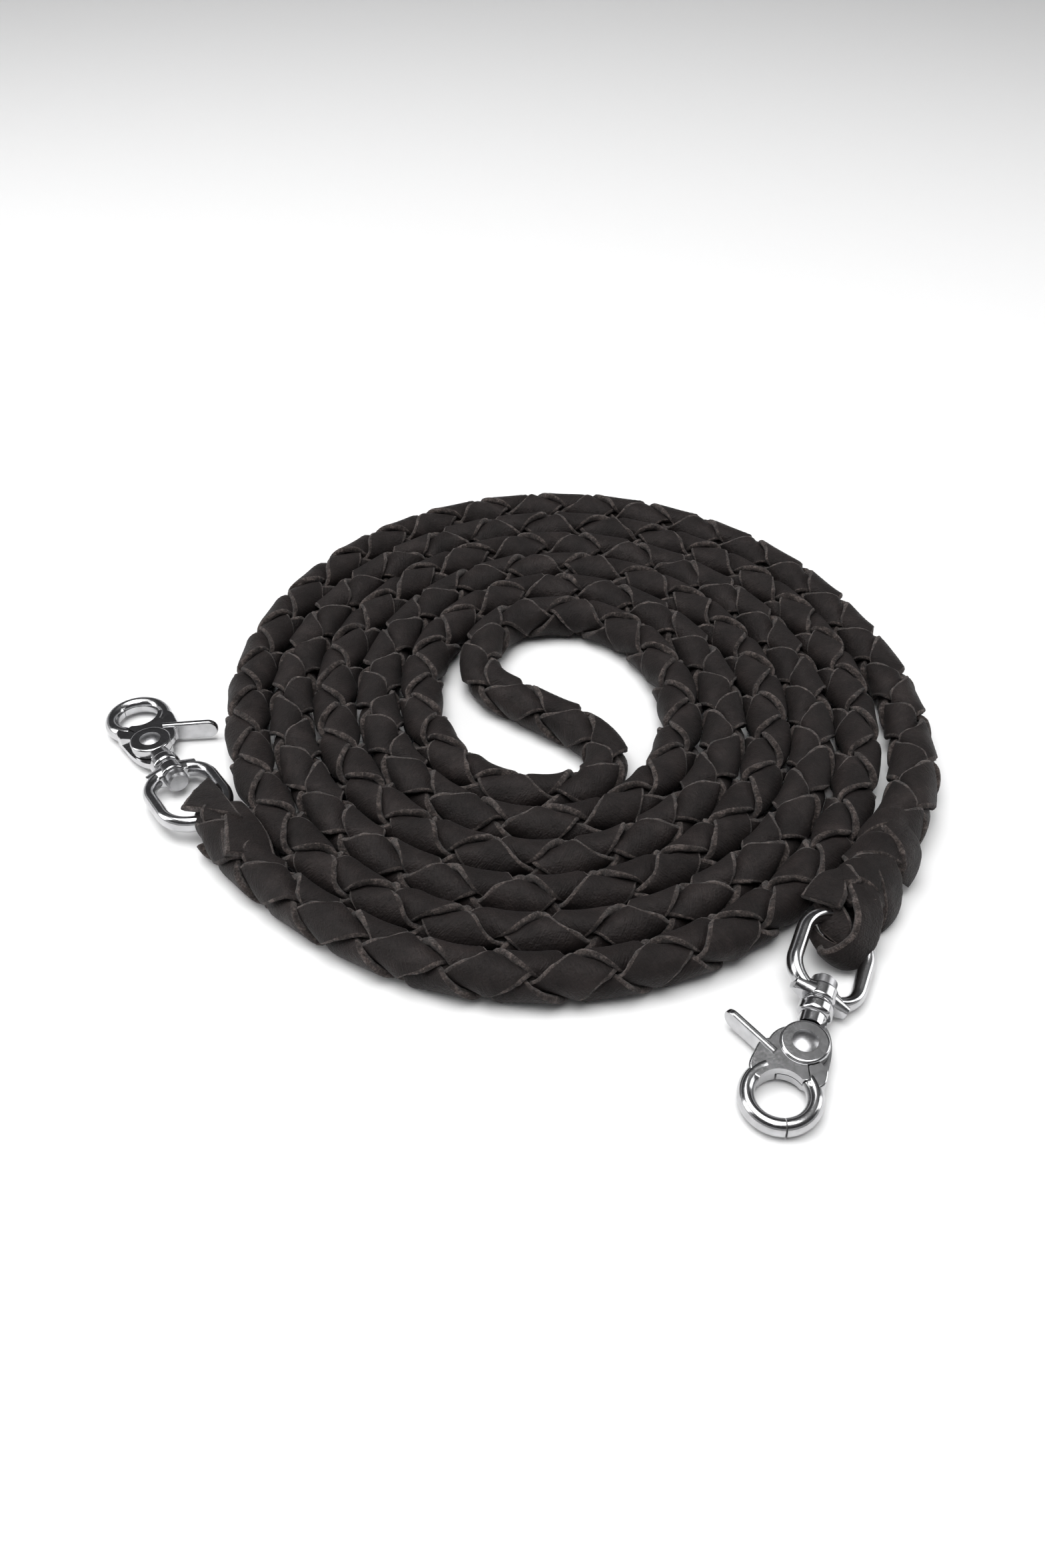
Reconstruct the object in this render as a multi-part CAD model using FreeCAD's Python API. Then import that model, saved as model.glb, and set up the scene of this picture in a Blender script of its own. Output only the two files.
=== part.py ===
"""Closed leather reins, laid as a flat double spiral, with a swivel scissor snap at each end.

Millimetres, +Z up. The origin is on the ground, under the middle of the whole object's box.
A snap is built in its own frame: the origin is its pivot's centre, +X runs to the hook's tip,
+Y is the side without the lever, +Z is the side with the trigger's cheek. It is then placed.
"""
import math
import os

import FreeCAD
import Part

Vector = FreeCAD.Vector
Z_AXIS = Vector(0, 0, 1)
X_AXIS = Vector(1, 0, 0)

# The braided rein and the double spiral that it lies in. An arm's angle is clockwise from +Y.
REIN_D = 14.0
SPIRAL_CENTRE = (13.5, 21.4)
SPIRAL_RADIUS = 43.3
SPIRAL_STEP = 14.44
SPIRAL_STRETCH = 12.4
ARM_A_ZERO = 270.0
ARM_B_ZERO = 90.0
ARM_A_SPAN = (195.0, 1150.0)
ARM_B_SPAN = (5.0, 915.0)
COIL_WALL_GAP = 0.25
COIL_EDGE = 4.0
OUTLINE_STEP = 15.0

# The rein's free stretches, point by point at the rein's middle height.
REIN_Z = REIN_D / 2
MIDDLE_BEND = [
    (6.6, 69.2),
    (-2.8, 63.2),
    (-8.9, 53.4),
    (-11.2, 41.8),
    (-8.2, 30.4),
    (0.4, 21.8),
    (11.0, 14.6),
    (22.0, 6.2),
    (30.5, -2.4),
    (32.0, -13.0),
    (26.9, -22.5),
    (16.7, -27.3),
]
RIGHT_TAIL = [(127.0, 46.0), (130.4, 27.0), (131.2, 8.0), (129.8, -10.0)]
RIGHT_SPLICE = [(125.6, -27.4), (117.6, -43.6), (106.4, -59.0)]
LEFT_TAIL = [(-35.9, -88.5), (-52.6, -77.9), (-69.6, -63.4), (-80.4, -52.4)]

# The right end's splice, where the laces are woven back, and the lace loops round each eye.
SPLICE_D = 16.4
LACE_T = 2.2
LOOP_W = 5.0
LOOP_Y = 2.7
LOOP_INNER_R = 3.7
LOOP_END_GAP = 0.8

# The snap
CHEEK_R = 6.6
CHEEK_T = 3.2
CHEEK_GAP = 0.15
CHEEK_EDGE = 0.8
PLATE_R = 11.2
ROTOR_GAP = 0.3
RING_CENTRE = (16.2, -1.9)
RING_R = 8.8
STOCK_W = 4.6
STOCK_H = 5.6
FRAME_H = 5.2
FRAME_EDGE = 0.6
TIP_ANGLE = 23.0
RAIL_STEP = (50.0, 160.0)
TRIGGER_TRAVEL = 28.0
RIVET_R = 1.9
RIVET_HEAD_R = 3.4
RIVET_HEAD_H = 0.9
RUNNING_GAP = 0.05
NECK_R = 3.8
COLLAR_R = 4.8
COLLAR_X = (-9.8, -14.4)
WASHER_R = 3.7
WASHER_T = 0.5
STEM_R = 1.7
HEAD_R = 3.6
HEAD_L = 3.2
BOSS_X = (-14.95, -19.7)
BOSS_R = 4.5
EYE_STOCK_R = 2.1
EYE_STOCK_HALF_H = 2.7
EYE_HALF_W = 10.3
EYE_ARC_X = -34.4
EYE_CORNER_R = 8.4
EYE_NEAR_X = -17.15
EYE_BAR_X = EYE_ARC_X - EYE_HALF_W
REIN_END_X = EYE_BAR_X - 4.7
LEVER_ROOT = (3.6, -9.6)
LEVER_TIP = (-3.2, -22.0)
LEVER_T = 2.0
LEVER_H = 6.4
SPRING_WIRE_R = 0.4
SPRING_R = 3.3
SPRING_TURNS = 1.8
SPRING_PITCH = 1.0

# Each snap's place: its pivot, the heading of its +X, how far its hook end dips,
# and how far its eye is turned on the swivel.
SNAPS = {
    "right": {"pivot": (77.9, -121.3, 5.1), "heading": -112.5, "dip": 4.5, "eye_turn": -25.0},
    "left": {"pivot": (-116.6, -0.5, 4.7), "heading": 123.5, "dip": 3.0, "eye_turn": 0.0},
}


def spiral_radius(zero, angle):
    """An arm's radius at an angle: it grows by one rein in half a turn."""
    return SPIRAL_RADIUS + SPIRAL_STEP * (angle - zero) / 180


def spiral_point(zero, angle, offset=0.0):
    """A point of an arm's centreline, or of a line beside it."""
    radius = spiral_radius(zero, angle) + offset
    turn = math.radians(angle)
    return Vector(
        SPIRAL_CENTRE[0] + radius * math.sin(turn),
        SPIRAL_CENTRE[1] + (radius + SPIRAL_STRETCH) * math.cos(turn),
        0,
    )


def steps(first, last, step):
    """Angles from first to last, evenly spaced, about step apart."""
    count = max(1, round(abs(last - first) / step))
    return [first + (last - first) * i / count for i in range(count + 1)]


def spline_edge(points):
    """A smooth edge through points."""
    curve = Part.BSplineCurve()
    curve.interpolate(points)
    return curve.toShape()


def coil():
    """The spiral's outer shape: an oval band with a step where each arm starts and ends."""
    half = REIN_D / 2 - COIL_WALL_GAP
    a_end, b_end = ARM_A_SPAN[1], ARM_B_SPAN[1]
    outer = [
        [spiral_point(ARM_A_ZERO, t, half) for t in steps(b_end, a_end, OUTLINE_STEP)],
        [spiral_point(ARM_B_ZERO, t, half) for t in steps(a_end - 360, b_end, OUTLINE_STEP)],
    ]
    a_start, b_start = ARM_A_SPAN[0], ARM_B_SPAN[0]
    inner = [
        [spiral_point(ARM_B_ZERO, t, -half) for t in steps(b_start, a_start, OUTLINE_STEP)],
        [spiral_point(ARM_A_ZERO, t, -half) for t in steps(a_start, b_start + 360, OUTLINE_STEP)],
    ]
    wires = []
    for arcs in (outer, inner):
        edges = [spline_edge(arc) for arc in arcs]
        edges.insert(1, Part.makeLine(arcs[0][-1], arcs[1][0]))
        edges.append(Part.makeLine(arcs[1][-1], arcs[0][0]))
        wires.append(Part.Wire(edges))
    face = Part.Face(wires)
    face.validate()
    band = face.extrude(Vector(0, 0, REIN_D))
    long_edges = [
        e for e in band.Edges
        if e.Curve.TypeId == "Part::GeomBSplineCurve" and e.BoundBox.ZLength < 0.01
    ]
    return band.makeFillet(COIL_EDGE, long_edges)


def rounded_path(points):
    """Straight runs joined by the largest tangent arcs that they allow, and the arcs' radii."""
    edges, radii = [], []
    start = points[0]
    for before, corner, after in zip(points, points[1:], points[2:]):
        run_in = corner - before
        run_out = after - corner
        half_turn = run_in.getAngle(run_out) / 2
        trim = 0.45 * min(run_in.Length, run_out.Length)
        radius = trim / math.tan(half_turn)
        run_in.normalize()
        run_out.normalize()
        first = corner - run_in * trim
        last = corner + run_out * trim
        bisector = run_out - run_in
        bisector.normalize()
        to_centre = radius / math.cos(half_turn)
        middle = corner + bisector * (to_centre - radius)
        edges.append(Part.LineSegment(start, first).toShape())
        edges.append(Part.Arc(first, middle, last).toShape())
        radii.append(radius)
        start = last
    edges.append(Part.LineSegment(start, points[-1]).toShape())
    return Part.Wire(edges), radii


def tube(name, points, diameter, against=()):
    """A plain tube along a route, trimmed where it meets other solids.

    Its volume is checked against its section times its length before the trim.
    """
    path, radii = rounded_path(points)
    direction = points[1] - points[0]
    section = Part.Wire(Part.makeCircle(diameter / 2, points[0], direction))
    solid = path.makePipeShell([section], True, False, 2)
    expected = math.pi * diameter**2 / 4 * path.Length
    print(name, "length", round(path.Length, 1), "radii", [round(r, 1) for r in radii],
          "volume ratio", round(solid.Volume / expected, 4))
    for other in against:
        solid = solid.cut(other)
    return solid


def at_height(points, height):
    """Route points lifted to a height."""
    return [Vector(x, y, height) for x, y in points]


def box(low, high):
    """A box from its low and high corners."""
    size = [b - a for a, b in zip(low, high)]
    return Part.makeBox(*size, Vector(*low))


def cylinder(radius, low, high, axis=Z_AXIS):
    """A cylinder on the snap's Z or X axis, from low to high along it."""
    return Part.makeCylinder(radius, high - low, axis * low, axis)


def casting(outline, low, high, edges=(True, True)):
    """A smooth closed outline extruded from low to high, with its bottom and top edges rounded."""
    curve = Part.BSplineCurve()
    curve.interpolate([Vector(x, y, low) for x, y in outline], PeriodicFlag=True)
    solid = Part.Face(Part.Wire(curve.toShape())).extrude(Vector(0, 0, high - low))
    levels = [level for level, rounded in zip((low, high), edges) if rounded]
    rims = [
        e for e in solid.Edges
        if any(abs(e.BoundBox.ZMin - z) < 0.01 and abs(e.BoundBox.ZMax - z) < 0.01 for z in levels)
    ]
    return solid.makeFillet(FRAME_EDGE, rims) if rims else solid


def sector(radius, first, last, low, high):
    """A slice of a disc about the pivot, between two angles in degrees."""
    disc = Part.makeCylinder(radius, high - low, Vector(0, 0, low), Z_AXIS, last - first)
    disc.rotate(Vector(0, 0, 0), Z_AXIS, first)
    return disc


def hook_arc(first, last):
    """A stretch of the hook's ring: an oval section turned about the ring's centre."""
    centre = Vector(*RING_CENTRE, 0)
    start = centre + Vector(RING_R, 0, 0)
    ellipse = Part.Ellipse(start + Vector(0, 0, STOCK_H / 2), start + Vector(STOCK_W / 2, 0, 0), start)
    face = Part.Face(Part.Wire(ellipse.toShape()))
    arc = face.revolve(centre, Z_AXIS, last - first)
    arc.rotate(centre, Z_AXIS, first)
    return arc


def throat():
    """The hole that the hook's ring leaves open."""
    return Part.makeCylinder(RING_R - STOCK_W / 2 + 0.1, 4 * STOCK_H, Vector(*RING_CENTRE, -2 * STOCK_H))


def spring_pocket():
    """The ring-shaped hollow between the cheeks, where the spring lies."""
    half = SPRING_TURNS * SPRING_PITCH / 2 + SPRING_WIRE_R + 0.2
    outside = cylinder(SPRING_R + SPRING_WIRE_R + 0.35, -half, half)
    return outside.cut(cylinder(SPRING_R - SPRING_WIRE_R - 0.35, -half, half))


def fuse(first, *rest):
    """One solid from several."""
    return first.multiFuse(list(rest))


def cheek(low, high, rim_z):
    """A hinge cheek: a disc with one rounded rim."""
    disc = cylinder(CHEEK_R, low, high)
    rim = [e for e in disc.Edges if abs(e.BoundBox.ZMin - rim_z) < 0.01 and abs(e.BoundBox.ZMax - rim_z) < 0.01]
    return disc.makeFillet(CHEEK_EDGE, rim)


def hook_body():
    """Neck, lower cheek, side rail and the fixed half of the hook.

    Beside the upper cheek the rail is only as high as the lower one.
    """
    half = FRAME_H / 2
    bottom = -CHEEK_GAP - CHEEK_T
    disc = cheek(bottom, -CHEEK_GAP, bottom)
    rail = casting(
        [(-9.6, 1.6), (-8.0, 4.2), (-3.8, 6.5), (1.0, 7.4), (6.4, 7.8), (11.0, 7.5), (12.4, 4.8),
         (9.4, 2.6), (4.0, 2.8), (-1.6, 1.6), (-6.4, -0.4)],
        -half, half,
    )
    web = casting(
        [(0, 5.2), (6, 6.0), (10.8, 4.6), (11.6, 0.4), (11.2, -4.2), (8.6, -6.0), (3.4, -5.0), (-1, 0)],
        -half, -CHEEK_GAP, (True, False),
    )
    web = web.common(cylinder(PLATE_R, -half, half))
    neck = cylinder(NECK_R, COLLAR_X[0] - 1, -4.0, X_AXIS)
    collar = cylinder(COLLAR_R, COLLAR_X[1], COLLAR_X[0], X_AXIS)
    collar = collar.makeFillet(1.4, [e for e in collar.Edges if e.Curve.TypeId == "Part::GeomCircle"])
    body = fuse(disc, rail, web, neck, collar, hook_arc(TIP_ANGLE + 1.0, 140))
    reach = 40
    trigger_room = sector(PLATE_R + ROTOR_GAP, -150, 22, -CHEEK_GAP, reach)
    trigger_room = trigger_room.fuse(cylinder(CHEEK_R + ROTOR_GAP, -CHEEK_GAP, reach))
    trigger_room = trigger_room.fuse(sector(PLATE_R, RAIL_STEP[0], RAIL_STEP[1], -CHEEK_GAP, reach))
    sweep = sector(reach, -149, -24, -reach, reach)
    sweep = sweep.cut(cylinder(CHEEK_R + 0.01, -reach, reach))
    sweep = sweep.cut(box((-reach, -COLLAR_R - 0.1, -reach), (-CHEEK_R - 0.5, COLLAR_R, reach)))
    body = body.cut(throat()).cut(trigger_room).cut(sweep)
    body = body.cut(cylinder(RIVET_R, -reach, reach)).cut(spring_pocket())
    return body.cut(cylinder(STEM_R, COLLAR_X[1] - 1, -8.4, X_AXIS))


def lever():
    """The thumb lever: a blade on edge with a round end."""
    root = Vector(*LEVER_ROOT, 0)
    along = Vector(*LEVER_TIP, 0) - root
    length = along.Length
    half_h, half_t = LEVER_H / 2, LEVER_T / 2
    blade = box((-3.5, -half_t, -half_h), (length - half_h, half_t, half_h))
    end = Part.makeCylinder(half_h, LEVER_T, Vector(length - half_h, -half_t, 0), Vector(0, 1, 0))
    blade = blade.fuse(end).removeSplitter()
    rim = [e for e in blade.Edges if abs(e.BoundBox.YMax - e.BoundBox.YMin) < 0.01 and e.BoundBox.XMax > -3.4]
    blade = blade.makeFillet(0.7, rim)
    blade.rotate(Vector(0, 0, 0), Z_AXIS, math.degrees(math.atan2(along.y, along.x)))
    blade.translate(root)
    return blade


def trigger_jaw():
    """Upper cheek, thumb lever and the moving half of the hook."""
    half = FRAME_H / 2
    top = CHEEK_GAP + CHEEK_T
    disc = cheek(CHEEK_GAP, top, top)
    plate = casting(
        [(0, 5.6), (6.6, 4.8), (10.9, 3.6), (11.6, -1.0), (10.6, -6.4), (5.0, -9.2), (-2.0, -7.4), (-4, 0)],
        CHEEK_GAP, half, (False, True),
    )
    root = casting(
        [(1.8, -7.4), (6.0, -4.6), (11.0, -4.2), (14.6, -7.8), (12.4, -11.4), (6.6, -11.6), (2.4, -10.2)],
        -half, half,
    )
    jaw = fuse(disc, plate, root, hook_arc(-140, TIP_ANGLE - 1.0), lever())
    reach = 40
    body_room = sector(PLATE_R + ROTOR_GAP, -26, 200, -reach, CHEEK_GAP)
    body_room = body_room.fuse(cylinder(CHEEK_R + ROTOR_GAP, -reach, CHEEK_GAP))
    beyond = sector(reach, 20, 200, -reach, reach).cut(cylinder(CHEEK_R + 0.01, -reach, reach))
    far_web = sector(reach, 4.5, 22, -reach, reach).cut(cylinder(PLATE_R, -reach, reach))
    jaw = jaw.cut(throat()).cut(body_room).cut(beyond).cut(far_web)
    return jaw.cut(cylinder(RIVET_R + RUNNING_GAP, -reach, reach)).cut(spring_pocket())


def pivot_rivet():
    """The shank through both cheeks, with a domed head on each."""
    top = CHEEK_GAP + CHEEK_T + RUNNING_GAP
    bottom = -CHEEK_GAP - CHEEK_T
    shank = cylinder(RIVET_R, bottom, top)
    sphere_r = (RIVET_HEAD_R**2 + RIVET_HEAD_H**2) / (2 * RIVET_HEAD_H)
    upper = Part.makeSphere(sphere_r, Vector(0, 0, top + RIVET_HEAD_H - sphere_r))
    upper = upper.common(cylinder(RIVET_HEAD_R + 1, top, top + 2 * RIVET_HEAD_H))
    lower = Part.makeSphere(sphere_r, Vector(0, 0, bottom - RIVET_HEAD_H + sphere_r))
    lower = lower.common(cylinder(RIVET_HEAD_R + 1, bottom - 2 * RIVET_HEAD_H, bottom))
    return fuse(shank, upper, lower)


def torsion_spring():
    """Wire turns round the rivet, in the pocket between the cheeks."""
    height = SPRING_TURNS * SPRING_PITCH
    count = round(SPRING_TURNS * 16)
    points = []
    for i in range(count + 1):
        turn = 2 * math.pi * SPRING_TURNS * i / count
        z = height * (i / count - 0.5)
        points.append(Vector(SPRING_R * math.cos(turn), SPRING_R * math.sin(turn), z))
    path = spline_edge(points)
    section = Part.Wire(Part.makeCircle(SPRING_WIRE_R, points[0], path.tangentAt(path.FirstParameter)))
    return Part.Wire(path).makePipeShell([section], True, False)


def swivel_pin():
    """The stem, fixed in the neck, and the head that holds the eye on it."""
    stem = cylinder(STEM_R, BOSS_X[1] - HEAD_L + 0.5, -8.5, X_AXIS)
    head_face = BOSS_X[1] - RUNNING_GAP
    head = cylinder(HEAD_R, head_face - HEAD_L, head_face, X_AXIS)
    outer_rim = [e for e in head.Edges if abs(e.CenterOfMass.x - (head_face - HEAD_L)) < 0.01]
    head = head.makeChamfer(0.7, outer_rim)
    return fuse(stem, head)


def thrust_washer():
    """A flat ring on the stem, between the collar and the eye's boss."""
    disc = cylinder(WASHER_R, COLLAR_X[1] - WASHER_T, COLLAR_X[1], X_AXIS)
    return disc.cut(cylinder(STEM_R, COLLAR_X[1] - WASHER_T - 1, COLLAR_X[1] + 1, X_AXIS))


def swivel_eye():
    """An oval ring with a drilled boss for the swivel pin."""
    half, corner = EYE_HALF_W, EYE_CORNER_R
    near, far = EYE_NEAR_X, EYE_ARC_X
    bend = corner * (1 - math.sqrt(0.5))
    upper_corner = Part.Arc(
        Vector(near, half - corner, 0),
        Vector(near - bend, half - bend, 0),
        Vector(near - corner, half, 0),
    )
    lower_corner = Part.Arc(
        Vector(near - corner, -half, 0),
        Vector(near - bend, -half + bend, 0),
        Vector(near, -half + corner, 0),
    )
    path = Part.Wire([
        Part.makeLine(Vector(near, 0, 0), Vector(near, half - corner, 0)),
        upper_corner.toShape(),
        Part.makeLine(Vector(near - corner, half, 0), Vector(far, half, 0)),
        Part.Arc(Vector(far, half, 0), Vector(far - half, 0, 0), Vector(far, -half, 0)).toShape(),
        Part.makeLine(Vector(far, -half, 0), Vector(near - corner, -half, 0)),
        lower_corner.toShape(),
        Part.makeLine(Vector(near, -half + corner, 0), Vector(near, 0, 0)),
    ])
    centre = Vector(near, 0, 0)
    oval = Part.Ellipse(Vector(near, 0, EYE_STOCK_HALF_H), Vector(near + EYE_STOCK_R, 0, 0), centre)
    section = Part.Wire(oval.toShape())
    ring = path.makePipeShell([section], True, False, 2)
    boss = cylinder(BOSS_R, BOSS_X[1], BOSS_X[0], X_AXIS)
    boss = boss.makeFillet(0.9, [e for e in boss.Edges if e.Curve.TypeId == "Part::GeomCircle"])
    tapers = [
        Part.makeCone(3.6, EYE_STOCK_R, 6.2, Vector(near, side * 2.0, 0), Vector(0, side, 0))
        for side in (-1, 1)
    ]
    tapers = [t.common(box((BOSS_X[1], -20, -10), (BOSS_X[0], 20, 10))) for t in tapers]
    eye = fuse(ring, boss, *tapers)
    return eye.cut(cylinder(STEM_R + RUNNING_GAP, BOSS_X[1] - 1, BOSS_X[0] + 1, X_AXIS))


def lace_loop(side):
    """A lace round the eye's far bar: a U-shaped band that starts at the rein's end."""
    outer_y = LOOP_Y + LOOP_W / 2
    bar_x = EYE_ARC_X - math.sqrt(EYE_HALF_W**2 - outer_y**2)
    bend_x = bar_x + EYE_STOCK_R + LOOP_END_GAP - LOOP_INNER_R
    bands = []
    for radius in (LOOP_INNER_R + LACE_T, LOOP_INNER_R):
        slab = box((REIN_END_X, -LOOP_W / 2, -radius), (bend_x, LOOP_W / 2, radius))
        bend = Part.makeCylinder(radius, LOOP_W, Vector(bend_x, -LOOP_W / 2, 0), Vector(0, 1, 0))
        bands.append(slab.fuse(bend))
    loop = bands[0].cut(bands[1])
    behind = box((REIN_END_X - 20, -20, -20), (REIN_END_X, 20, 20))
    loop = loop.cut(behind)
    loop.translate(Vector(0, side * LOOP_Y, 0))
    return loop


def snap_placement(snap):
    """Where a snap's own frame lies."""
    turn = FreeCAD.Rotation(Z_AXIS, snap["heading"])
    dip = FreeCAD.Rotation(Vector(0, 1, 0), snap["dip"])
    return FreeCAD.Placement(Vector(*snap["pivot"]), turn.multiply(dip))


def eye_turn(shape, snap):
    """The eye, and the loops round it, turned on the swivel."""
    shape.rotate(Vector(0, 0, 0), X_AXIS, snap["eye_turn"])
    return shape


def snap_parts(side):
    """Every solid of one snap and its lace loops, placed."""
    snap = SNAPS[side]
    solids = {
        "hook_body": hook_body(),
        "trigger_jaw": trigger_jaw(),
        "pivot_rivet": pivot_rivet(),
        "torsion_spring": torsion_spring(),
        "swivel_pin": swivel_pin(),
        "swivel_eye": eye_turn(swivel_eye(), snap),
        "thrust_washer": thrust_washer(),
        "lace_loop_1": eye_turn(lace_loop(1), snap),
        "lace_loop_2": eye_turn(lace_loop(-1), snap),
    }
    placement = snap_placement(snap)
    return {f"{side}_{name}": solid.transformed(placement.toMatrix()) for name, solid in solids.items()}


def rein_end(side):
    """The rein's end against the loops, in line with the snap."""
    return snap_placement(SNAPS[side]).multVec(Vector(REIN_END_X, 0, 0))


def arm_end(zero, angle):
    """Where an arm leaves the spiral, as a route point."""
    point = spiral_point(zero, angle)
    return (point.x, point.y)


def rein_parts(snaps):
    """The rein's own solids: the coil, the bend in its middle, the two tails and the splice."""
    band = coil()
    bend = [arm_end(ARM_B_ZERO, ARM_B_SPAN[0])] + MIDDLE_BEND + [arm_end(ARM_A_ZERO, ARM_A_SPAN[0])]
    right = at_height([arm_end(ARM_A_ZERO, ARM_A_SPAN[1])] + RIGHT_TAIL, REIN_Z)
    splice = [right[-1] + Vector(0, 0, SPLICE_D / 2 - REIN_Z)] + at_height(RIGHT_SPLICE, SPLICE_D / 2)
    splice.append(rein_end("right"))
    left = at_height([arm_end(ARM_B_ZERO, ARM_B_SPAN[1])] + LEFT_TAIL, REIN_Z)
    left.append(rein_end("left"))
    loops = [solid for name, solid in snaps.items() if "lace_loop" in name]
    spliced = tube("right_splice", splice, SPLICE_D, [band] + loops)
    return {
        "coil": band,
        "middle_bend": tube("middle_bend", at_height(bend, REIN_Z), REIN_D, [band]),
        "right_tail": tube("right_tail", right, REIN_D, [band, spliced]),
        "right_splice": spliced,
        "left_tail": tube("left_tail", left, REIN_D, [band] + loops),
    }


def main():
    os.makedirs("parts", exist_ok=True)
    snaps = {}
    for side in SNAPS:
        snaps.update(snap_parts(side))
    solids = {**rein_parts(snaps), **snaps}
    for name, solid in solids.items():
        if solid.ShapeType == "Compound" and len(solid.Solids) == 1:
            solid = solid.Solids[0]
        if not solid.isValid() or len(solid.Solids) != 1:
            raise ValueError(f"{name} isn't one valid solid")
        solid.exportStep(f"parts/{name}.step")
    whole = Part.makeCompound(list(solids.values())).BoundBox
    print("box", [round(v, 2) for v in (whole.XMin, whole.XMax, whole.YMin, whole.YMax, whole.ZMin, whole.ZMax)])


main()
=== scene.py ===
"""Closed leather reins in a flat double spiral, with a swivel scissor snap at each end."""
import math

import bpy
import numpy as np
from mathutils import Matrix, Vector


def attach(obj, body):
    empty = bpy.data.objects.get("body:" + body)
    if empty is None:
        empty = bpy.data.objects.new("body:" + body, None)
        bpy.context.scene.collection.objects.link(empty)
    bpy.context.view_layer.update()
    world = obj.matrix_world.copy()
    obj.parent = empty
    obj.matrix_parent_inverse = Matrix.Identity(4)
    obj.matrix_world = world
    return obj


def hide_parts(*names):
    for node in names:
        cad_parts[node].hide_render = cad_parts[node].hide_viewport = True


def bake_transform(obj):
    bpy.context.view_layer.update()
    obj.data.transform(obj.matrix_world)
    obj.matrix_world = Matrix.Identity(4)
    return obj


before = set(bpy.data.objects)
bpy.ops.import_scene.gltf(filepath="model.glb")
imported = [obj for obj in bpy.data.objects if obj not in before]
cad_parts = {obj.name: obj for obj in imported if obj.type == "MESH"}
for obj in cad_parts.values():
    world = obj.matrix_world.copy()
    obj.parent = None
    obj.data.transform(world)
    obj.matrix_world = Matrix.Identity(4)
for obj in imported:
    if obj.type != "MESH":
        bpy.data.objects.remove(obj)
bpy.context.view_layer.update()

# ---------------------------------------------------------------- route of the rein
# Millimetres and degrees. part.py lays its tubes along the same route. The places were read off the
# photograph with a camera fitted to it, and the last six points of MIDDLE_BEND were then moved
# slightly by a search for bend radius and clearance. They are absolute, and don't follow the frame.
SPIRAL_CENTRE = (13.5, 21.4)
SPIRAL_RADIUS = 43.3
SPIRAL_STEP = 14.44                    # how much an arm's radius grows in half a turn
SPIRAL_STRETCH = 12.4                  # how much further the arms reach along Y than along X
ON_CURVE = 1.0086                      # control points lie this much outside the spiral's turns
TURN_STEP = 15
ARM_A_ZERO, ARM_B_ZERO = 270, 90       # each arm's angle at SPIRAL_RADIUS, clockwise from +Y
REIN_Z, SPLICE_Z = 7.0, 8.2            # heights of the rein's middle
MIDDLE_BEND = [(6.6, 69.2), (-2.8, 63.2), (-8.9, 53.4), (-11.2, 41.8), (-8.2, 30.4), (0.4, 21.8),
               (11.0, 14.6), (22.0, 6.2), (30.5, -2.4), (32.0, -13.0), (26.9, -22.5), (16.7, -27.3)]
RIGHT_TAIL = [(127.0, 46.0), (130.4, 27.0), (131.2, 8.0), (129.8, -10.0)]
RIGHT_SPLICE = [(125.6, -27.4), (117.6, -43.6), (106.4, -59.0)]
LEFT_TAIL = [(-35.9, -88.5), (-52.6, -77.9), (-69.6, -63.4), (-80.4, -52.4)]
SNAPS = {                              # each snap's pivot, heading and dip towards its tip
    "right": ((77.9, -121.3, 5.1), -112.5, 4.5),
    "left": ((-116.6, -0.5, 4.7), 123.5, 3.0),
}
REIN_END_X = -49.4                     # the rein's end, along a snap's own axis from its pivot


def arm(zero, angle):
    """A point of one of the spiral's two arms."""
    radius = (SPIRAL_RADIUS + SPIRAL_STEP * (angle - zero) / 180) * ON_CURVE
    turn = math.radians(angle)
    x = SPIRAL_CENTRE[0] + radius * math.sin(turn)
    y = SPIRAL_CENTRE[1] + (radius + SPIRAL_STRETCH) * math.cos(turn)
    return (x, y, REIN_Z)


def rein_end(side):
    """The end of the rein at one snap's eye."""
    pivot, heading, dip = SNAPS[side]
    turn = Matrix.Rotation(math.radians(heading), 4, "Z") @ Matrix.Rotation(math.radians(dip), 4, "Y")
    return tuple(Matrix.Translation(Vector(pivot)) @ turn @ Vector((REIN_END_X, 0, 0)))


def lying(points, z=REIN_Z):
    return [(x, y, z) for x, y in points]


route = [rein_end("left")]
route += lying(LEFT_TAIL[::-1])
route += [arm(ARM_B_ZERO, angle) for angle in range(915, 0, -TURN_STEP)]
route += lying(MIDDLE_BEND)
route += [arm(ARM_A_ZERO, angle) for angle in range(195, 1150, TURN_STEP)]
route += lying(RIGHT_TAIL) + lying(RIGHT_SPLICE, SPLICE_Z) + [rein_end("right")]


def add_object(name, data):
    """A new object with this data, in the scene."""
    thing = bpy.data.objects.new(name, data)
    bpy.context.scene.collection.objects.link(thing)
    return thing


SAME_PLACE = 1e-7                      # metres; points nearer than this to the last one are dropped
LOOK_AHEAD = 0.0012                    # metres to each side, for a line's direction at a point


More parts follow.
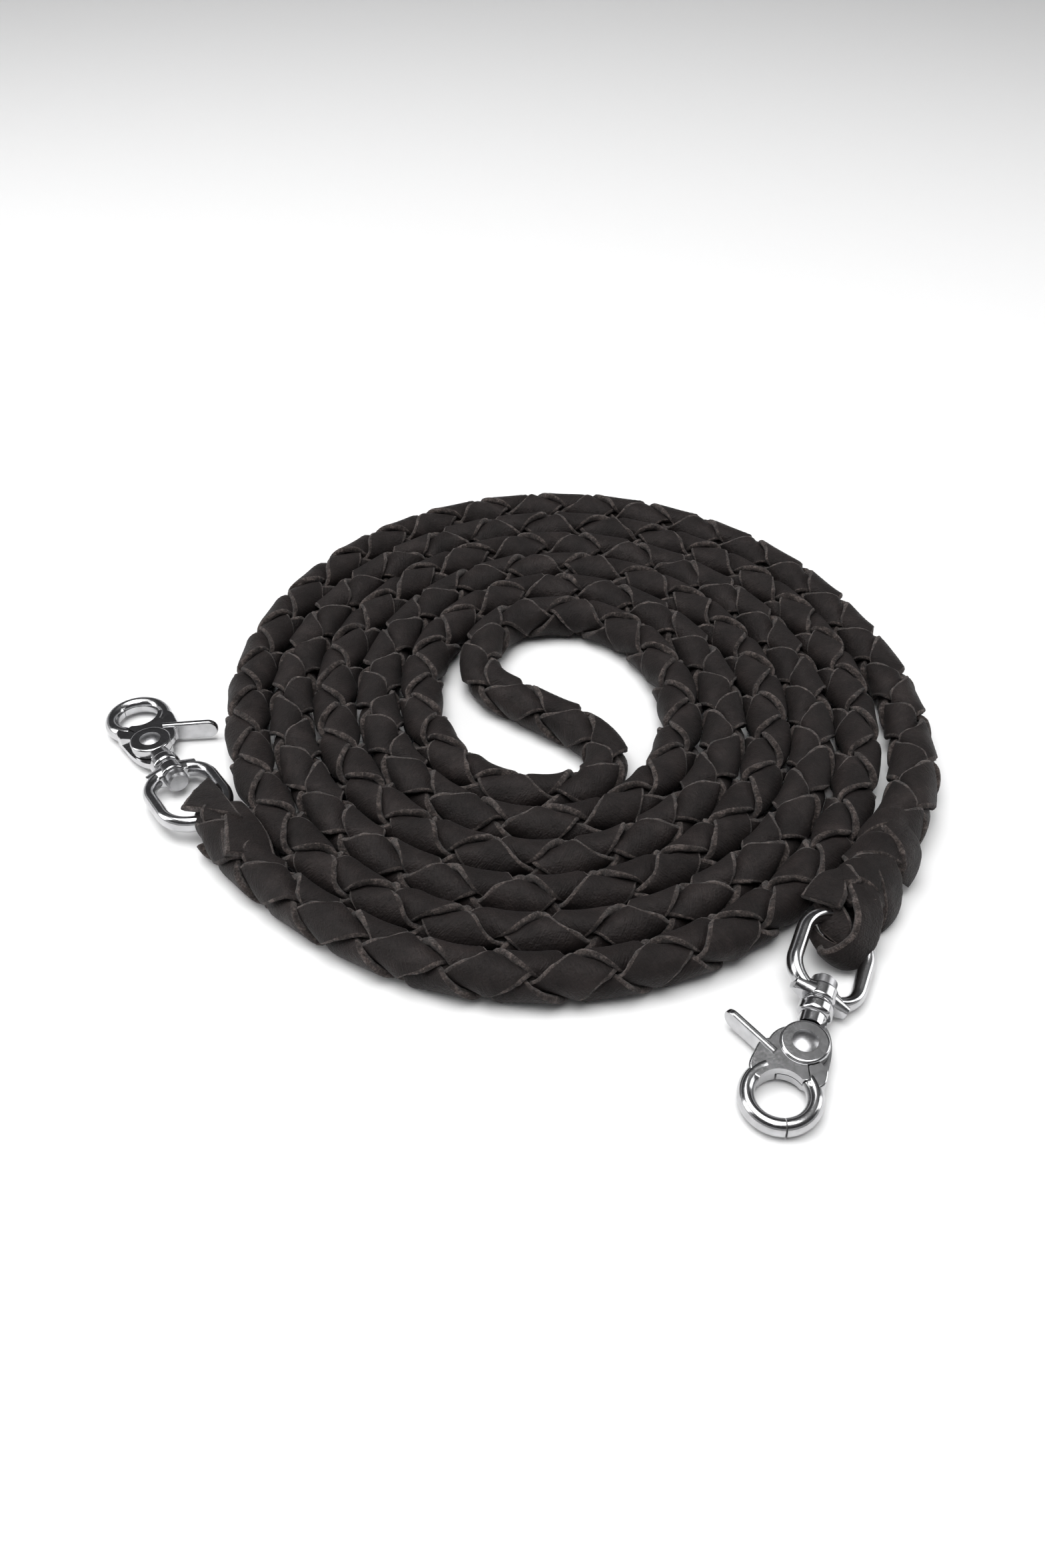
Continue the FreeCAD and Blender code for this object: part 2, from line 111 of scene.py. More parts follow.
def nurbs_points(name, points, resolution):
    """Points of one smooth NURBS spline with these control points, from millimetres to metres."""
    curve = bpy.data.curves.new(name, "CURVE")
    curve.dimensions = "3D"
    curve.resolution_u = resolution
    spline = curve.splines.new("NURBS")
    spline.points.add(len(points) - 1)
    for slot, point in zip(spline.points, points):
        slot.co = (point[0] / 1000, point[1] / 1000, point[2] / 1000, 1)
    spline.order_u = 3
    spline.use_endpoint_u = True
    carrier = add_object(name, curve)
    bpy.context.view_layer.update()
    mesh = bpy.data.meshes.new_from_object(carrier)
    line = np.array([v.co[:] for v in mesh.vertices])
    bpy.data.objects.remove(carrier)
    bpy.data.curves.remove(curve)
    bpy.data.meshes.remove(mesh)
    keep = np.r_[True, np.linalg.norm(np.diff(line, axis=0), axis=1) > SAME_PLACE]
    return line[keep]


class Line:
    """A line read by its length, with a frame that keeps one side up."""

    def __init__(self, points):
        self.points = points
        self.at = np.r_[0, np.cumsum(np.linalg.norm(np.diff(points, axis=0), axis=1))]
        self.length = self.at[-1]

    def read(self, s):
        return np.stack([np.interp(s, self.at, self.points[:, i]) for i in range(3)], -1)

    def place(self, s):
        """Point, side and up at each length. Beyond an end the line goes straight on."""
        inside = np.clip(s, 0, self.length)
        ahead = self.read(np.clip(inside + LOOK_AHEAD, 0, self.length))
        behind = self.read(np.clip(inside - LOOK_AHEAD, 0, self.length))
        along = unit(ahead - behind)
        up = np.zeros_like(along)
        up[..., 2] = 1
        side = unit(np.cross(up, along))
        up = np.cross(along, side)
        return self.read(inside) + along * (s - inside)[..., None], side, up


def unit(v):
    """Vectors made one long; the small number keeps a zero vector from dividing by zero."""
    return v / np.maximum(np.linalg.norm(v, axis=-1, keepdims=True), 1e-12)


WAVE_SINES = 4
WAVE_DIVISOR = 2.6                     # brings the sines' sum to mostly between -1 and 1


def wave(s, seed, scale):
    """Smooth, repeatable variation, mostly between -1 and 1, with waves about scale long."""
    rng = np.random.RandomState(seed)
    total = np.zeros(len(s))
    for _ in range(WAVE_SINES):
        turns = s / scale * 2 * math.pi * rng.uniform(0.6, 1.7)
        total += np.sin(turns + rng.uniform(0, 6.28))
    return total / WAVE_DIVISOR


# ---------------------------------------------------------------- materials
def new_material(name):
    """A new material, its nodes and links, and its shader."""
    material = bpy.data.materials.new(name)
    material.use_nodes = True
    nodes, links = material.node_tree.nodes, material.node_tree.links
    shader = nodes["Principled BSDF"]
    return material, nodes, links, shader


def noise(nodes, links, vector, scale, detail, roughness):
    node = nodes.new("ShaderNodeTexNoise")
    node.inputs["Scale"].default_value = scale
    node.inputs["Detail"].default_value = detail
    node.inputs["Roughness"].default_value = roughness
    links.new(vector, node.inputs["Vector"])
    return node


def ramp(nodes, links, value, stops):
    """A colour ramp with a (position, colour) pair for each stop, from first to last."""
    node = nodes.new("ShaderNodeValToRGB")
    elements = node.color_ramp.elements
    elements[0].position, elements[0].color = stops[0][0], (*stops[0][1], 1)
    elements[1].position, elements[1].color = stops[-1][0], (*stops[-1][1], 1)
    for position, colour in stops[1:-1]:
        element = elements.new(position)
        element.color = (*colour, 1)
    links.new(value, node.inputs["Fac"])
    return node


def scaled(nodes, links, vector, scale):
    node = nodes.new("ShaderNodeMapping")
    node.inputs["Scale"].default_value = scale
    links.new(vector, node.inputs["Vector"])
    return node.outputs["Vector"]


def bump(nodes, links, height, strength, distance, normal=None):
    node = nodes.new("ShaderNodeBump")
    node.inputs["Strength"].default_value = strength
    node.inputs["Distance"].default_value = distance
    links.new(height, node.inputs["Height"])
    if normal:
        links.new(normal, node.inputs["Normal"])
    return node.outputs["Normal"]


def grey(value):
    return (value, value, value)


def grain_leather():
    """The lace's smooth side: dark, blotched, with pores and fine creases across it."""
    material, nodes, links, shader = new_material("leather_grain")
    place = nodes.new("ShaderNodeTexCoord")
    blotch = noise(nodes, links, place.outputs["Object"], 90, 5, 0.6)
    colour = ramp(nodes, links, blotch.outputs["Fac"], [
        (0.30, (0.0066, 0.0046, 0.0043)),
        (0.52, (0.0125, 0.0090, 0.0085)),
        (0.72, (0.0235, 0.0177, 0.0167)),
    ])
    across = noise(nodes, links, scaled(nodes, links, place.outputs["UV"], (2600, 260, 1)), 1, 3, 0.6)
    pores = noise(nodes, links, place.outputs["Object"], 1700, 3, 0.5)
    mix = nodes.new("ShaderNodeMix")
    mix.data_type = "RGBA"
    mix.blend_type = "MULTIPLY"
    mix.inputs["Factor"].default_value = 0.7
    streak = ramp(nodes, links, across.outputs["Fac"], [(0.3, grey(0.55)), (0.7, (1.25, 1.22, 1.2))])
    links.new(colour.outputs["Color"], mix.inputs["A"])
    links.new(streak.outputs["Color"], mix.inputs["B"])
    links.new(mix.outputs["Result"], shader.inputs["Base Color"])
    rough = ramp(nodes, links, blotch.outputs["Fac"], [(0.3, grey(0.66)), (0.7, grey(0.50))])
    links.new(rough.outputs["Color"], shader.inputs["Roughness"])
    shader.inputs["Specular IOR Level"].default_value = 0.21
    shader.inputs["Sheen Weight"].default_value = 0.02
    shader.inputs["Sheen Roughness"].default_value = 0.5
    first = bump(nodes, links, pores.outputs["Fac"], 0.8, 0.0004)
    second = bump(nodes, links, across.outputs["Fac"], 0.75, 0.0005, first)
    links.new(bump(nodes, links, blotch.outputs["Fac"], 0.55, 0.002, second), shader.inputs["Normal"])
    return material


def raw_leather(name, low, middle, high):
    """Leather without its smooth side: fibres and clumps, in three colours."""
    material, nodes, links, shader = new_material(name)
    place = nodes.new("ShaderNodeTexCoord")
    fibre = noise(nodes, links, place.outputs["Object"], 1500, 5, 0.7)
    clump = noise(nodes, links, place.outputs["Object"], 420, 4, 0.65)
    blend = nodes.new("ShaderNodeMix")
    blend.inputs["Factor"].default_value = 0.5
    links.new(fibre.outputs["Fac"], blend.inputs["A"])
    links.new(clump.outputs["Fac"], blend.inputs["B"])
    colour = ramp(nodes, links, blend.outputs["Result"], [(0.38, low), (0.5, middle), (0.63, high)])
    links.new(colour.outputs["Color"], shader.inputs["Base Color"])
    shader.inputs["Roughness"].default_value = 0.95
    shader.inputs["Specular IOR Level"].default_value = 0.15
    shader.inputs["Sheen Weight"].default_value = 0.12
    shader.inputs["Sheen Roughness"].default_value = 0.6
    first = bump(nodes, links, clump.outputs["Fac"], 0.9, 0.0009)
    links.new(bump(nodes, links, fibre.outputs["Fac"], 0.9, 0.0005, first), shader.inputs["Normal"])
    return material


def steel(name, colour, rough):
    """Steel of this colour, its roughness going from rough to a little more."""
    material, nodes, links, shader = new_material(name)
    place = nodes.new("ShaderNodeTexCoord")
    cast = noise(nodes, links, place.outputs["Object"], 260, 3, 0.5)
    fine = noise(nodes, links, place.outputs["Object"], 1600, 4, 0.6)
    darker = tuple(part * 0.82 for part in colour)
    tint = ramp(nodes, links, cast.outputs["Fac"], [(0.35, darker), (0.65, colour)])
    links.new(tint.outputs["Color"], shader.inputs["Base Color"])
    shader.inputs["Metallic"].default_value = 1
    gloss = ramp(nodes, links, fine.outputs["Fac"], [(0.3, grey(rough)), (0.75, grey(rough + 0.12))])
    links.new(gloss.outputs["Color"], shader.inputs["Roughness"])
    first = bump(nodes, links, cast.outputs["Fac"], 0.05, 0.0006)
    links.new(bump(nodes, links, fine.outputs["Fac"], 0.04, 0.00008, first), shader.inputs["Normal"])
    return material


GRAIN = grain_leather()
EDGE = raw_leather("leather_cut_edge",
                   (0.009, 0.0066, 0.006), (0.036, 0.028, 0.0255), (0.125, 0.101, 0.092))
FLESH = raw_leather("leather_flesh_side",
                    (0.014, 0.011, 0.010), (0.030, 0.024, 0.022), (0.055, 0.046, 0.042))
STEEL = steel("stainless_polished", (0.56, 0.56, 0.57), 0.12)
WIRE = steel("spring_wire", (0.36, 0.36, 0.38), 0.22)
TURNED = steel("stainless_turned", (0.42, 0.42, 0.43), 0.27)

# The leather's own nodes get steel here too, but the laces replace them all.
for name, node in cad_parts.items():
    finish = STEEL
    if "torsion_spring" in name:
        finish = WIRE
    elif "rivet" in name or "pin" in name:
        finish = TURNED
    for slot in node.material_slots:
        slot.material = finish

# ---------------------------------------------------------------- laces
GRAIN_SIDE, CUT_EDGE, FLESH_SIDE = 0, 1, 2   # a face's material, in the order lace_mesh adds them
UV_HALF_WIDTH = 0.006                        # metres
FLOOR_GAP = 0.0001                           # metres; no lace goes lower than this


def lace_profile():
    """A lace's section: across from -1 to 1, height from -1 to 1, and what each point is on."""
    top = [(v, 1.0 - 0.06 * v**4, GRAIN_SIDE) for v in np.linspace(-0.86, 0.86, 9)]
    right = [(v, h, CUT_EDGE) for v, h in ((0.93, 0.86), (0.99, 0.52), (1.02, 0.0), (0.99, -0.6))]
    bottom = [(v, -1.0, FLESH_SIDE) for v in np.linspace(0.9, -0.9, 5)]
    left = [(-v, h, kind) for v, h, kind in right[::-1]]
    across, height, kinds = zip(*(top + right + bottom + left))
    return np.array(across), np.array(height), kinds


ACROSS, HEIGHT, KIND = lace_profile()
# What each face round the section is: a face between two kinds of point is a cut edge.
STRIPS = [here if here == there else CUT_EDGE for here, there in zip(KIND, KIND[1:] + KIND[:1])]

# Laces that lie over an eye, kept out of the leather body: the eye, where the lift starts and where it
# is whole, in metres.
LIFTED = {
    "left_lace_end": ("left_eye", (-0.0845, -0.048, 0.013), (-0.0925, -0.031, 0.011)),
    "right_loop_arch": ("right_eye", (0.096, -0.066, 0.015), (0.088, -0.079, 0.014)),
}


def lace_mesh(name, points, length, strips=STRIPS):
    """A lace from its sections' points (sections, profile, 3) and lengths, with capped ends."""
    n, m, _ = points.shape
    points[..., 2] = np.maximum(points[..., 2], FLOOR_GAP)
    grid = np.arange(n * m).reshape(n, m)
    after = np.roll(grid, -1, axis=1)
    quads = np.stack([grid[:-1], grid[1:], after[1:], after[:-1]], -1).reshape(-1, 4)
    faces = quads.tolist() + [grid[0].tolist(), grid[-1][::-1].tolist()]
    mesh = bpy.data.meshes.new(name)
    mesh.from_pydata(points.reshape(-1, 3).tolist(), [], faces)
    for material in (GRAIN, EDGE, FLESH):
        mesh.materials.append(material)
    kinds = np.tile(strips, n - 1).tolist() + [CUT_EDGE, CUT_EDGE]
    mesh.polygons.foreach_set("material_index", kinds)
    mesh.polygons.foreach_set("use_smooth", [True] * len(faces))
    uv = mesh.uv_layers.new(name="UVMap")
    run = np.repeat(length, m)
    width = np.tile(np.interp(np.arange(m), np.arange(len(ACROSS)), ACROSS) * UV_HALF_WIDTH, n)
    loops = np.empty(len(mesh.loops), dtype=np.int32)
    mesh.loops.foreach_get("vertex_index", loops)
    uv.data.foreach_set("uv", np.stack([run[loops], width[loops]], -1).ravel())
    mesh.update()
    piece = add_object(name, mesh)
    if name in LIFTED:
        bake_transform(piece)
    else:
        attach(piece, "leather")
    return piece


def roughness(shape, seed):
    """Small, repeatable roughness between -1 and 1, softened a little along the lace."""
    rough = np.random.RandomState(seed).uniform(-1, 1, shape)
    return (rough + np.roll(rough, 1, axis=0)) / 2


def fray(shape, seed):
    """Roughness for a lace's cut edges only."""
    return roughness(shape, seed) * np.clip((np.abs(ACROSS) - 0.84) / 0.1, 0, 1)


# ---------------------------------------------------------------- the braid, millimetres where not said
PITCH = 0.0456                         # metres of rein in which a lace goes once round
MEAN_R = 0.0052                        # metres; gives a lace's slope across the braid
SECTION_STEP = 0.00105                 # metres between a lace's sections
LACE_R = 4.45                          # a lace's radius halfway between over and under
LIFT = 1.3                             # how far it rises over another lace and dips under one
LACE_T = 2.6
LACE_HALF_W = 6.1
CREST = 2.4                            # the higher this is, the more quickly over turns to under
SPLICE_STARTS = (0.085, 0.030)         # metres before the right end, where it thickens in two steps
SPLICE_RUN = 0.02                      # metres that each step takes
CORE_R = 3.5
CORE_SIDES = 10
CORE_STEP = 0.0018                     # metres between the core's sections
CORE_INSET = 0.004                     # metres by which the core is shorter at each end
CORE_TWIST = 60                        # radians per metre

rein = Line(nurbs_points("rein_route", route, 10))


def round_rein(length, angle, radius):
    """Points at lengths along the rein and angles and radii round it."""
    point, side, up = rein.place(length)
    radius = radius[..., None] / 1000
    return point + radius * (np.cos(angle)[..., None] * side + np.sin(angle)[..., None] * up)


def braid_lace(name, hand, phase, seed):
    """One of the braid's four laces: a helix of the given hand that goes over one and under one."""
    s = np.arange(0.0, rein.length + 0.0005, SECTION_STEP)
    slope = math.atan(2 * math.pi * MEAN_R / PITCH)

    # The angle round the rein. The whole braid rolls slowly, and the crossings are a little uneven.
    roll = math.radians(45) + 0.25 * wave(s, 5, 0.55)
    shifted = s + 0.0013 * wave(s, 9, 0.21) + 0.0006 * wave(s, seed + 9, 0.07)
    alpha = hand * (2 * math.pi * shifted / PITCH) + phase

    # How far each point lies from the lace's middle, with each edge uneven in its own way.
    splice = sum(np.clip((s - (rein.length - before)) / SPLICE_RUN, 0, 1) for before in SPLICE_STARTS)
    half_width = (LACE_HALF_W + 0.25 * wave(s, seed, 0.05) + 0.5 * splice)[:, None]
    one_edge, other_edge = wave(s, seed + 20, 0.013), wave(s, seed + 30, 0.013)
    uneven = np.where(ACROSS > 0, one_edge[:, None], other_edge[:, None])
    near_edge = np.abs(ACROSS) ** 3
    across = ACROSS * (half_width + 0.55 * uneven * near_edge)

    # Over and under. skew makes each crossing follow the edge of the lace that it crosses.
    skew = 2 * (2 * math.pi * math.cos(slope) / PITCH) / math.tan(2 * slope) * across / 1000
    over = hand * np.tanh(CREST * np.cos(2 * alpha[:, None] + skew)) / math.tanh(CREST)
    radius = LACE_R + 0.75 * splice[:, None] + LIFT * over

    # A lace lies flatter than the round under it where it is over, and its edges are rough.
    radius = radius + 0.026 * (across * math.cos(slope)) ** 2 * (over * 0.5 + 0.5)
    radius = radius + 0.42 * near_edge * np.roll(uneven, 9, axis=0) + HEIGHT * LACE_T / 2
    radius = radius + 0.21 * fray(across.shape, seed)
    across = across + np.sign(ACROSS) * 0.30 * fray(across.shape, seed + 50)

    angle = (alpha + roll)[:, None] + across * math.cos(slope) / (LACE_R + LIFT)
    length = s[:, None] - hand * across / 1000 * math.sin(slope)
    return lace_mesh(name, round_rein(length, angle, radius), s / math.cos(slope))


def braid_core():
    """The braid's core, which closes the small gaps at its crossings."""
    s = np.arange(CORE_INSET, rein.length - CORE_INSET, CORE_STEP)
    around = np.linspace(0, 2 * math.pi, CORE_SIDES, endpoint=False)
    angle = around + CORE_TWIST * s[:, None]
    radius = CORE_R + 0.25 * roughness(angle.shape, 77)
    length = np.repeat(s[:, None], CORE_SIDES, axis=1)
    return lace_mesh("lace_core", round_rein(length, angle, radius), s, [FLESH_SIDE] * CORE_SIDES)


laces = [
    braid_lace("lace_1", 1, 0.0, 11),
    braid_lace("lace_2", 1, math.pi, 12),
    braid_lace("lace_3", -1, 0.0, 13),
    braid_lace("lace_4", -1, math.pi, 14),
    braid_core(),
]
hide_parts("coil", "middle_bend", "right_tail", "right_splice", "left_tail")


# ---------------------------------------------------------------- lace ends and loops round the eyes
END_LACE_T = 2.2                       # millimetres
END_LACE_STEP = 0.7                    # millimetres between sections
END_LACE_SECTIONS = 16                 # at least this many, however short the lace
END_LACE_BULGE = 0.5                   # millimetres by which a lace's middle is higher than its edges
FIRST_SEED = 31


def edge_line(name, points, n):
    """n evenly spaced points, in metres, along a smooth line that these points steer."""
    line = Line(nurbs_points(name, points, 12))
    return line.read(np.linspace(0, line.length, n))


def end_lace(name, one, other, seed):
    """A short lace between its two long edges, given in millimetres. Its thickness lies below them."""
    span = sum(math.dist(a, b) for a, b in zip(one, one[1:]))
    n = max(END_LACE_SECTIONS, int(span / END_LACE_STEP))
    near, far = edge_line(name, one, n), edge_line(name, other, n)
    along = unit(np.gradient((near + far) / 2, axis=0))
    faces_down = np.cross(far - near, along)[: n // 2, 2].sum() < 0
    if faces_down:
        near, far = far, near
    middle, half = (near + far) / 2, (far - near) / 2
    normal = unit(np.cross(half, along))

    s = np.arange(n) * (END_LACE_STEP / 1000)
    across = ACROSS * (1 + 0.02 * wave(s, seed, 0.01))[:, None]
    across = across + np.sign(ACROSS) * 0.035 * fray(across.shape, seed)
    height = (HEIGHT - 1) * END_LACE_T / 2 + END_LACE_BULGE * (1 - ACROSS ** 2)
    height = height + 0.12 * fray(across.shape, seed + 7)
    points = middle[:, None] + half[:, None] * across[..., None]
    points = points + normal[:, None] * height[..., None] / 1000
    return lace_mesh(name, points, s)


# Each short lace's two long edges, in millimetres. The points were picked on the photograph with
# their heights judged, and a camera fitted to it turned them into these places. They are absolute:
# they don't follow the frame or the rein.
END_LACES = {
    "right_woven_4": (
        [(106.6, -44.5, 12.0), (109.6, -42.4, 15.5), (114.6, -41.5, 17.4), (120.5, -41.8, 15.0),
         (124.7, -43.6, 10.0)],
        [(103.2, -50.8, 11.0), (105.8, -50.4, 15.0), (111.4, -49.4, 17.8), (116.4, -50.6, 16.8),
         (121.4, -50.8, 11.0)]),
    "right_woven_3": (
        [(110.1, -51.5, 18.2), (113.1, -56.0, 18.0), (114.8, -60.8, 16.0), (115.1, -63.9, 12.0),
         (114.4, -63.3, 7.0)],
        [(115.7, -46.3, 17.0), (120.7, -49.4, 14.0), (122.9, -53.7, 10.0), (121.4, -59.1, 6.0),
         (118.1, -62.2, 3.0)]),
    "right_woven_2": (
        [(102.9, -51.8, 12.0), (105.1, -51.5, 15.5), (109.5, -52.7, 17.8), (114.3, -55.2, 16.4),
         (118.6, -56.4, 11.0)],
        [(98.0, -59.6, 11.5), (100.5, -60.1, 15.0), (103.9, -61.9, 17.9), (110.0, -62.4, 17.4),
         (115.6, -62.3, 12.0)]),
    "right_woven_1": (
        [(94.2, -63.9, 11.5), (95.6, -63.8, 15.0), (100.1, -62.6, 17.0), (104.0, -64.1, 17.2),
         (106.6, -67.7, 15.4)],
        [(95.1, -67.0, 12.0), (95.9, -69.2, 15.6), (98.9, -71.2, 17.2), (101.9, -73.3, 17.2),
         (104.9, -75.1, 15.0)]),
    "right_loop_side": (
        [(103.6, -62.1, 17.0), (105.6, -67.8, 16.9), (106.8, -73.5, 14.4), (107.6, -76.6, 10.0),
         (107.3, -78.6, 5.0), (106.2, -78.3, 2.0)],
        [(111.4, -60.9, 15.6), (114.2, -63.9, 12.0), (114.6, -68.0, 8.0), (113.4, -72.6, 4.5),
         (110.4, -76.2, 2.0), (107.3, -77.7, 0.8)]),
    "right_loop_outer": (
        [(96.2, -68.8, 15.5), (97.2, -78.2, 17.2), (97.5, -86.0, 16.0), (95.3, -90.6, 13.0),
         (90.7, -92.3, 10.5), (85.4, -93.0, 8.5), (86.2, -86.6, 5.0), (91.1, -78.6, 3.0)],
        [(104.0, -70.9, 16.0), (106.3, -78.3, 13.0), (105.2, -84.3, 8.6), (101.8, -90.5, 5.0),
         (97.4, -94.1, 2.8), (91.9, -92.8, 2.0), (90.9, -88.2, 1.2), (95.2, -80.8, 1.2)]),
    "right_loop_arch": (
        [(94.9, -65.7, 15.0), (90.4, -67.0, 15.8), (86.2, -70.1, 15.2), (82.8, -74.8, 13.6)],
        [(96.1, -67.1, 15.4), (95.6, -73.6, 17.2), (94.5, -78.7, 17.2), (92.7, -81.5, 15.4)]),
    "right_loop_inner_1": (
        [(93.2, -78.3, 14.6), (95.2, -81.7, 13.4), (96.0, -85.3, 11.4), (95.3, -88.1, 9.0)],
        [(86.8, -79.6, 11.0), (86.8, -82.6, 9.0), (89.0, -85.8, 8.0), (93.0, -89.6, 8.0)]),
    "right_loop_inner_2": (
        [(84.8, -81.6, 9.4), (87.6, -85.0, 8.2), (90.7, -87.7, 8.0), (93.9, -90.2, 8.6)],
        [(84.6, -83.5, 6.0), (85.7, -88.0, 5.5), (88.0, -90.6, 6.0), (92.2, -90.7, 7.0)]),
    "left_lace_end": (
        [(-79.4, -43.5, 15.2), (-82.4, -38.6, 14.4), (-86.7, -31.4, 12.4), (-93.1, -21.6, 9.6)],
        [(-98.8, -37.8, 13.4), (-98.0, -34.6, 13.2), (-96.9, -28.6, 11.8), (-94.5, -21.6, 9.6)]),
    "left_loop_side": (
        [(-94.4, -32.0, 8.5), (-95.7, -35.8, 9.8), (-95.6, -39.8, 8.6), (-93.5, -43.9, 7.0),
         (-87.4, -49.5, 5.2)],
        [(-87.6, -34.7, 11.0), (-85.5, -40.2, 13.4), (-84.1, -47.9, 14.8), (-83.2, -54.7, 14.8),
         (-81.9, -59.4, 13.0)]),
    "left_loop_top": (
        [(-87.4, -34.7, 11.0), (-85.2, -40.6, 13.8), (-83.3, -48.2, 15.6), (-82.3, -54.2, 16.0),
         (-81.1, -59.6, 15.6)],
        [(-81.5, -31.9, 9.5), (-78.0, -37.1, 11.6), (-73.5, -43.3, 11.4), (-70.0, -48.9, 10.8),
         (-67.9, -56.3, 10.4)]),
}
end_laces = {name: end_lace(name, one, other, FIRST_SEED + number)
             for number, (name, (one, other)) in enumerate(END_LACES.items())}
for name, node in (("right_loop_arch", "right_lace_loop_1"), ("right_loop_outer", "right_lace_loop_2"),
                   ("left_loop_side", "left_lace_loop_1"), ("left_loop_top", "left_lace_loop_2")):
    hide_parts(node)

# ---------------------------------------------------------------- floor, light and camera
PAPER = {"Base Color": (0.93, 0.93, 0.93, 1), "Roughness": 0.6, "Specular IOR Level": 0.2}
COVE_GLOW = (0.74, 0.74, 0.75, 1)
COVE_FADE = (0.4, 1.5)                 # metres from the middle, where paper turns into glow
COVE_FLAT, COVE_SWEEP = 3.0, 2.5       # metres: the flat part's radius, and the sweep's own
COVE_TOP = 6.0                         # metres; the wall's height
COVE_DROP = 0.0005                     # metres below the floor, so that the two don't touch
COVE_SEGMENTS, COVE_STEPS = 96, 12


def make_paper(shader):
    for name, value in PAPER.items():
        shader.inputs[name].default_value = value


def studio_floor():
    """The white paper under the object, which also lights it from below."""
    paper, _, _, shader = new_material("white_sweep")
    make_paper(shader)
    mesh = bpy.data.meshes.new("floor")
    corners = [(-0.62, -0.75, 0), (0.62, -0.75, 0), (0.62, 1.35, 0), (-0.62, 1.35, 0)]
    mesh.from_pydata(corners, [], [(0, 1, 2, 3)])
    mesh.materials.append(paper)
    return add_object("floor", mesh)


def cove_material():
    """The floor's own white near the rein, turning into an even pale grey further out."""
    material, nodes, links, shader = new_material("white_cove")
    make_paper(shader)
    place = nodes.new("ShaderNodeTexCoord")
    distance = nodes.new("ShaderNodeVectorMath")
    distance.operation = "LENGTH"
    links.new(place.outputs["Object"], distance.inputs[0])
    fade = nodes.new("ShaderNodeMapRange")
    fade.interpolation_type = "SMOOTHSTEP"
    fade.inputs["From Min"].default_value, fade.inputs["From Max"].default_value = COVE_FADE
    links.new(distance.outputs["Value"], fade.inputs["Value"])
    glow = nodes.new("ShaderNodeEmission")
    glow.inputs["Color"].default_value = COVE_GLOW
    mixed = nodes.new("ShaderNodeMixShader")
    links.new(fade.outputs["Result"], mixed.inputs["Fac"])
    links.new(shader.outputs["BSDF"], mixed.inputs[1])
    links.new(glow.outputs["Emission"], mixed.inputs[2])
    links.new(mixed.outputs["Shader"], nodes["Material Output"].inputs["Surface"])
    return material


def studio_cove():
    """A wide round floor that sweeps up into a wall; it neither lights nor mirrors in the object."""
    profile = [(0.0, 0.0), (COVE_FLAT, 0.0)]
    for step in range(1, COVE_STEPS + 1):
        turn = step / COVE_STEPS * math.pi / 2
        profile.append((COVE_FLAT + COVE_SWEEP * math.sin(turn), COVE_SWEEP * (1 - math.cos(turn))))
    profile.append((COVE_FLAT + COVE_SWEEP, COVE_TOP))
    around = [step / COVE_SEGMENTS * 2 * math.pi for step in range(COVE_SEGMENTS)]
    points = [(r * math.cos(a), r * math.sin(a), z - COVE_DROP) for r, z in profile for a in around]
    faces = []
    for row in range(len(profile) - 1):
        for here in range(COVE_SEGMENTS):
            after = (here + 1) % COVE_SEGMENTS
            low, high = row * COVE_SEGMENTS, (row + 1) * COVE_SEGMENTS
            faces.append((low + here, low + after, high + after, high + here))
    mesh = bpy.data.meshes.new("studio_cove")
    mesh.from_pydata(points, [], faces)
    mesh.materials.append(cove_material())
    for polygon in mesh.polygons:
        polygon.use_smooth = True
    cove = add_object("studio_cove", mesh)
    for kind in ("visible_diffuse", "visible_glossy", "visible_transmission", "visible_shadow"):
        setattr(cove, kind, False)
    return cove


floor = studio_floor()
studio_cove()


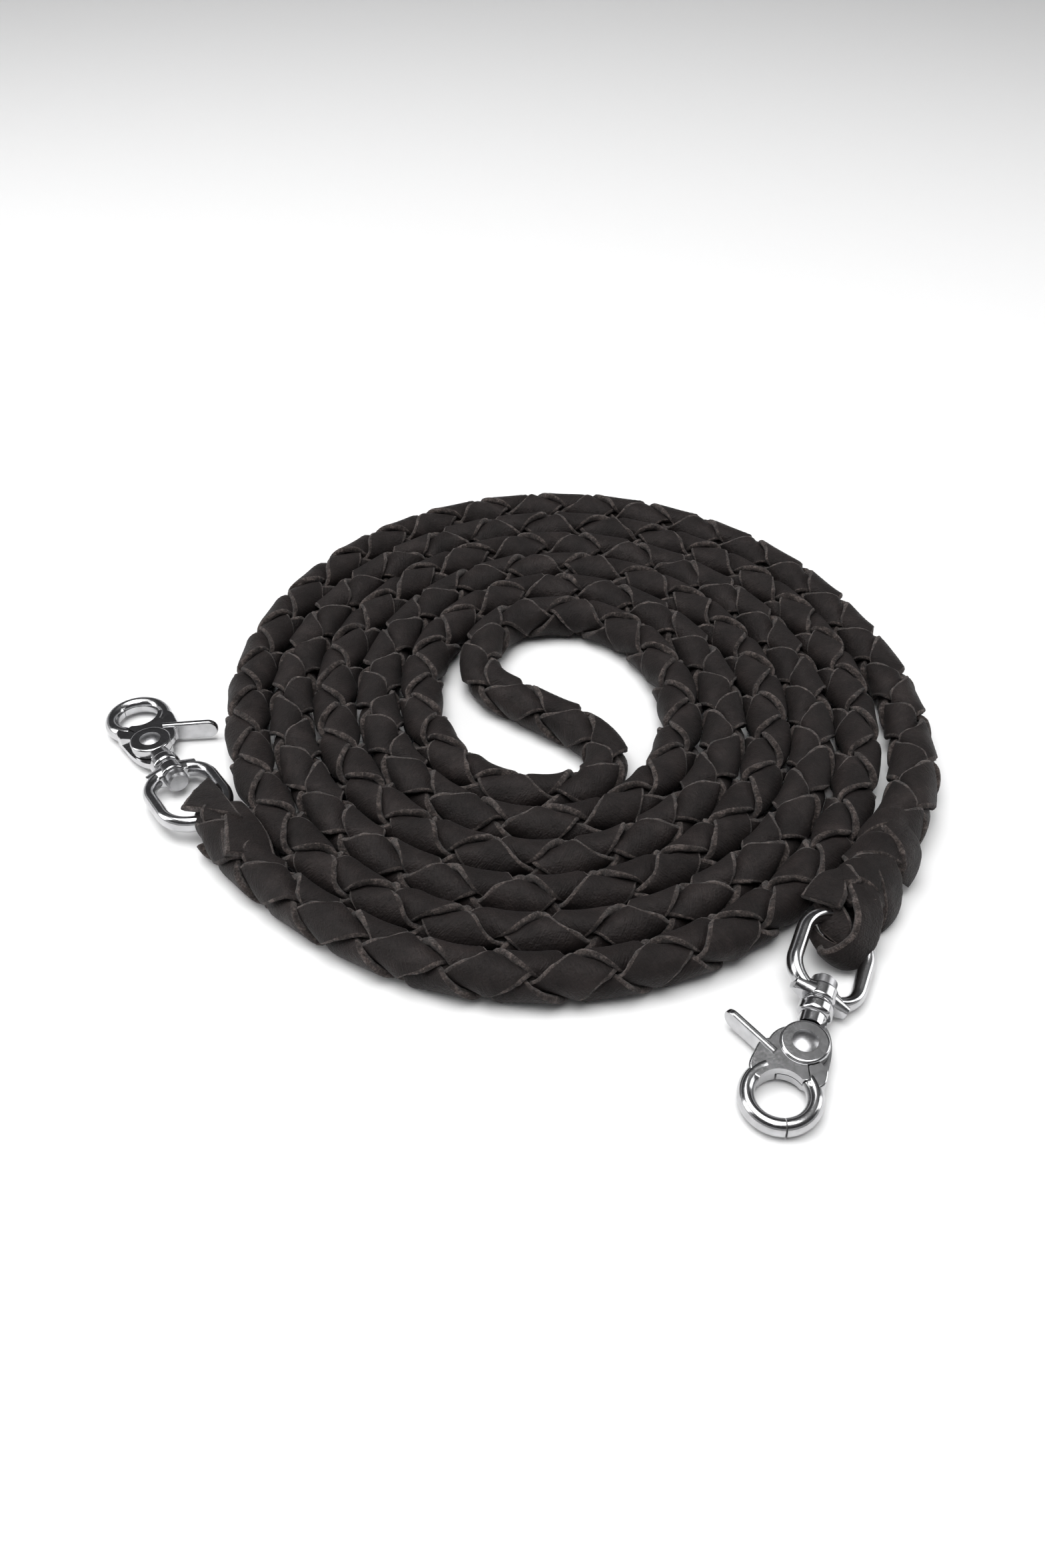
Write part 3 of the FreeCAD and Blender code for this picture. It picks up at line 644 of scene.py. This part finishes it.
def area_light(name, place, size, power):
    """A soft rectangular light of so many watts, aimed at the origin."""
    data = bpy.data.lights.new(name, "AREA")
    data.shape = "RECTANGLE"
    data.size, data.size_y = size
    data.energy = power
    lamp = add_object(name, data)
    lamp.location = place
    lamp.rotation_euler = (-Vector(place)).to_track_quat("-Z", "Y").to_euler()


area_light("overhead", (-0.15, -0.1, 1.25), (1.3, 1.0), 19)
area_light("left_box", (-1.1, -0.1, 0.55), (0.5, 0.9), 5)
area_light("right_box", (1.1, 0.1, 0.5), (0.4, 0.8), 3)


def studio_world():
    """The room's light by height, from level (0) to overhead (1). The metal mirrors its bands."""
    world = bpy.data.worlds.new("studio")
    world.use_nodes = True
    nodes, links = world.node_tree.nodes, world.node_tree.links
    sky = nodes.new("ShaderNodeTexCoord")
    parts = nodes.new("ShaderNodeSeparateXYZ")
    links.new(sky.outputs["Generated"], parts.inputs["Vector"])
    room = ramp(nodes, links, parts.outputs["Z"], [
        (0.0, grey(0.05)),
        (0.10, grey(0.30)),
        (0.22, (0.62, 0.62, 0.63)),
        (0.34, (0.05, 0.05, 0.052)),
        (0.66, (0.045, 0.045, 0.047)),
        (0.82, grey(0.16)),
        (1.0, grey(0.50)),
    ])
    links.new(room.outputs["Color"], nodes["Background"].inputs["Color"])
    nodes["Background"].inputs["Strength"].default_value = 1.0
    return world


CAMERA_PLACE = (0.0045, -0.337, 0.29435)
CAMERA_TILT = 42.3                     # degrees below level
SENSOR_HEIGHT, LENS = 36, 31.19        # millimetres


def photo_camera():
    """The camera, fitted to the photograph by trial."""
    data = bpy.data.cameras.new("camera")
    data.sensor_fit = "VERTICAL"
    data.sensor_height = SENSOR_HEIGHT
    data.lens = LENS
    data.clip_start = 0.01
    camera = add_object("camera", data)
    camera.location = CAMERA_PLACE
    camera.rotation_euler = (math.radians(90 - CAMERA_TILT), 0, 0)
    return camera


bpy.context.scene.world = studio_world()
bpy.context.scene.camera = photo_camera()
bpy.context.scene.view_settings.view_transform = "Standard"
